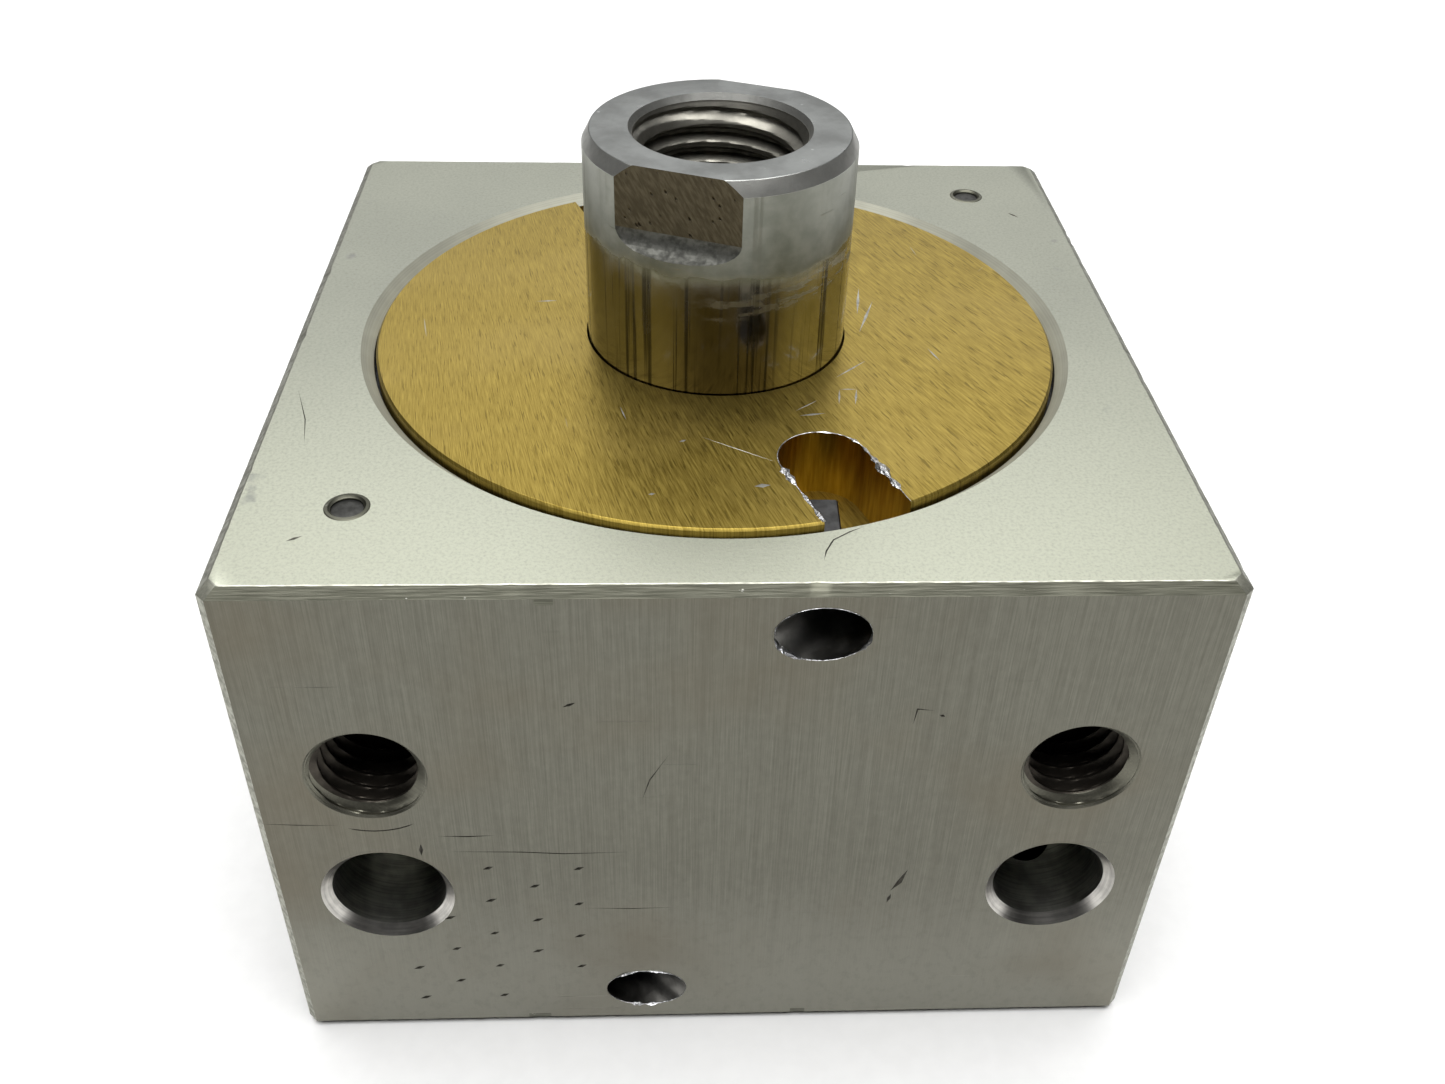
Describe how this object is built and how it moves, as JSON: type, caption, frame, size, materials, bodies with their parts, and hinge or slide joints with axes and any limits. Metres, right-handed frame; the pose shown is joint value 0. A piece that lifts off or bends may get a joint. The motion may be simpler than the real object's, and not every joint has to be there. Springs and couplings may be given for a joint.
{
  "type": "compact block cylinder",
  "caption": "Short-stroke fluid cylinder in a square block, with a wire-locked gland, a threaded rod end and ports in one side.",
  "frame": {"origin": "centre of the body's bottom face", "axes": "+Z along the rod, out of the gland; -Y out of the face that holds the ports"},
  "size_m": [0.0816, 0.0816, 0.0768],
  "materials": {
    "body_aluminium": "clear-anodised, brushed and scratched",
    "gold_anodised": "gold-anodised, brushed and scratched",
    "polished_rod": "ground and polished, stained",
    "dark_steel": "dull, drawn or blackened",
    "plug_steel": "dull, peened edge",
    "black_rubber": "matt",
    "wiper_rubber": "matt",
    "guide_plastic": "matt"
  },
  "bodies": {
    "cylinder": {"cylinder_body": "body_aluminium", "rod_gland": "gold_anodised", "rear_cap": "gold_anodised", "gland_lock_wire": "dark_steel", "cap_lock_wire": "dark_steel", "gland_o_ring": "black_rubber", "cap_o_ring": "black_rubber", "rod_wiper": "wiper_rubber", "rod_seal": "black_rubber", "rod_guide_ring": "guide_plastic", "passage_plug_top_left": "plug_steel", "passage_plug_top_right": "plug_steel", "passage_plug_bottom_right": "plug_steel", "passage_plug_bottom_left": "plug_steel", "port_plug_rod_end": "dark_steel", "port_plug_cap_end": "dark_steel"},
    "piston_rings": {"piston_seal": "black_rubber", "piston_guide_ring": "guide_plastic"},
    "rod_and_piston": {"piston_rod": "polished_rod", "piston": "body_aluminium", "piston_nut": "dark_steel", "piston_rod_o_ring": "black_rubber"}
  },
  "joints": [
    {"name": "rod_stroke", "type": "slide", "parent": "cylinder", "child": "piston_rings", "axis": [0, 0, 1], "range_m": [-0.012, 0.003]},
    {"name": "rod_spin", "type": "hinge", "parent": "piston_rings", "child": "rod_and_piston", "pos_m": [0, 0, 0.03], "axis": [0, 0, 1], "continuous": true}
  ]
}
